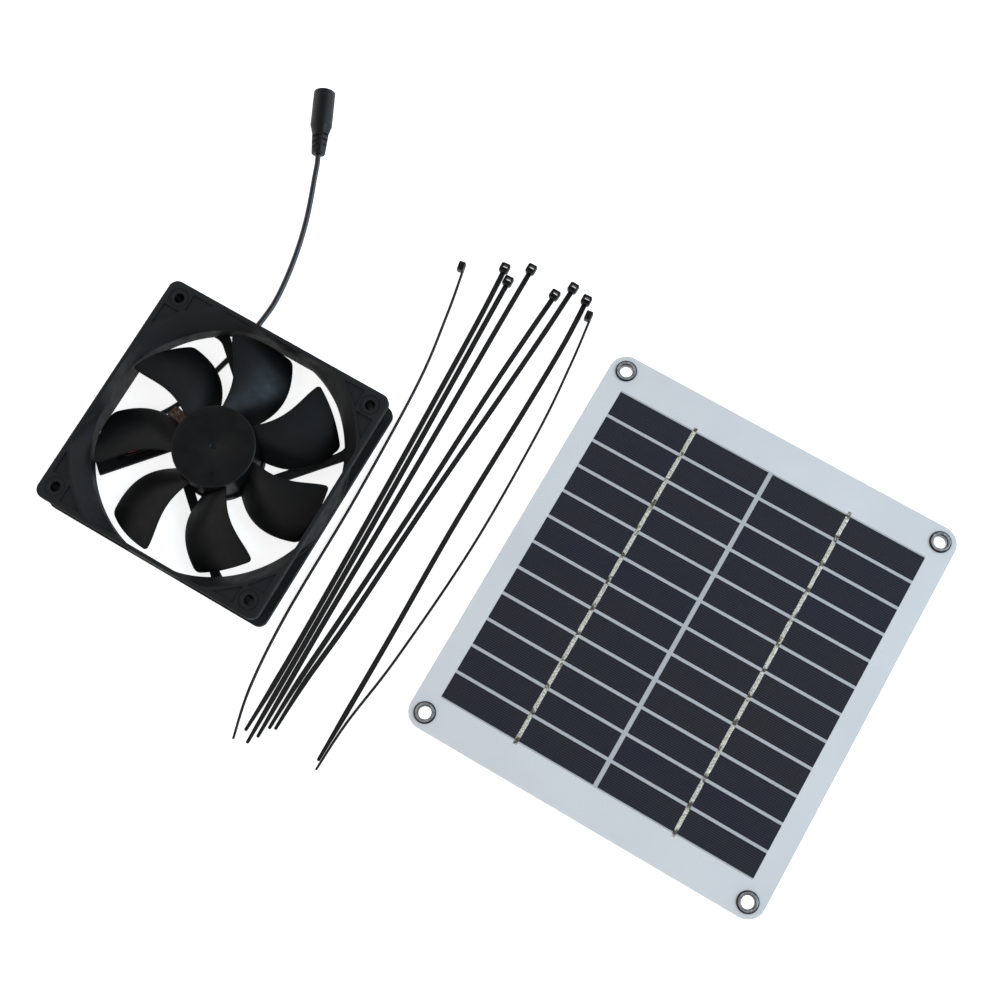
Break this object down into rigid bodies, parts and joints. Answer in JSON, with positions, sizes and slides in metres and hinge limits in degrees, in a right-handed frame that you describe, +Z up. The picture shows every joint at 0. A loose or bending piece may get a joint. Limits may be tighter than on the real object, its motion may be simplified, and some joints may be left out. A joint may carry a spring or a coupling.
{
  "type": "solar attic fan",
  "caption": "Square axial ventilation fan with sickle blades and a short lead to a barrel socket, with a frameless solar panel on corner eyelets and loose cable ties.",
  "frame": {"origin": "centre of the whole kit's box, without the lead, on the plane it lies on", "axes": "+Z up out of the fan's intake face and the panel's front; +X from the fan to the panel; +Y away from the camera, the way the lead leaves the fan"},
  "size_m": [0.3775, 0.2945, 0.025],
  "materials": {
    "fan_plastic": "satin, lightly textured",
    "impeller_plastic": "satin",
    "pressed_steel": "plain",
    "ground_steel": "ground",
    "bonded_magnet": "matt",
    "white_nylon": "matt",
    "turned_brass": "turned",
    "sintered_bronze": "oiled, porous",
    "stator_steel": "laminated",
    "copper_winding": "enamelled",
    "board_laminate": "satin",
    "chip_plastic": "matt",
    "capacitor_can": "satin",
    "label_film": "satin",
    "red_wire": "satin",
    "black_wire": "satin",
    "lead_jacket": "satin vinyl",
    "socket_plastic": "satin",
    "contact_metal": "plated",
    "tie_nylon": "satin gloss",
    "white_board": "matt",
    "bonding_film": "satin",
    "silicon_cell": "dark, fine lines",
    "clear_film": "clear, lightly embossed",
    "dark_nickel": "plated, dark",
    "box_plastic": "matt",
    "screw_steel": "plated"
  },
  "bodies": {
    "fan": {"fan_frame": "fan_plastic", "bearing_tube": "turned_brass", "sleeve_bearing": "sintered_bronze", "thrust_pad": "white_nylon", "stator_core": "stator_steel", "insulator_lower": "white_nylon", "insulator_upper": "white_nylon", "coil_1": "copper_winding", "coil_2": "copper_winding", "coil_3": "copper_winding", "coil_4": "copper_winding", "circuit_board": "board_laminate", "hall_sensor": "chip_plastic", "driver_chip": "chip_plastic", "capacitor": "capacitor_can", "motor_label": "label_film", "wire_red": "red_wire", "wire_black": "black_wire", "fan_lead": "lead_jacket", "socket_body": "socket_plastic", "socket_sleeve": "contact_metal", "socket_pin": "contact_metal"},
    "rotor": {"impeller": "impeller_plastic", "rotor_yoke": "pressed_steel", "rotor_magnet": "bonded_magnet", "rotor_shaft": "ground_steel", "shaft_clip": "white_nylon"},
    "cable_ties": {"tie_1": "tie_nylon", "tie_2": "tie_nylon", "tie_3": "tie_nylon", "tie_4": "tie_nylon", "tie_5": "tie_nylon", "tie_6": "tie_nylon", "tie_7": "tie_nylon", "tie_8": "tie_nylon"},
    "solar_panel": {"panel_board": "white_board", "bonding_sheet": "bonding_film", "cell_string_left": "silicon_cell", "cell_string_right": "silicon_cell", "front_film": "clear_film", "eyelet_1": "dark_nickel", "eyelet_2": "dark_nickel", "eyelet_3": "dark_nickel", "eyelet_4": "dark_nickel", "eyelet_washer_1": "dark_nickel", "eyelet_washer_2": "dark_nickel", "eyelet_washer_3": "dark_nickel", "eyelet_washer_4": "dark_nickel", "junction_box": "box_plastic", "junction_box_lid": "box_plastic", "lid_screw_1": "screw_steel", "lid_screw_2": "screw_steel", "lid_screw_3": "screw_steel", "lid_screw_4": "screw_steel", "cable_gland": "box_plastic", "blocking_diode": "chip_plastic", "terminal_positive": "turned_brass", "terminal_negative": "turned_brass"}
  },
  "joints": [
    {"name": "rotor_spin", "type": "hinge", "parent": "fan", "child": "rotor", "pos_m": [-0.1287, -0.0243, 0.0125], "axis": [0, 0, 1], "continuous": true},
    {"name": "panel_lift", "type": "slide", "parent": "fan", "child": "solar_panel", "axis": [0, 0, 1], "range_m": [0, 0.06]},
    {"name": "ties_lift", "type": "slide", "parent": "fan", "child": "cable_ties", "axis": [0, 0, 1], "range_m": [0, 0.06]}
  ]
}
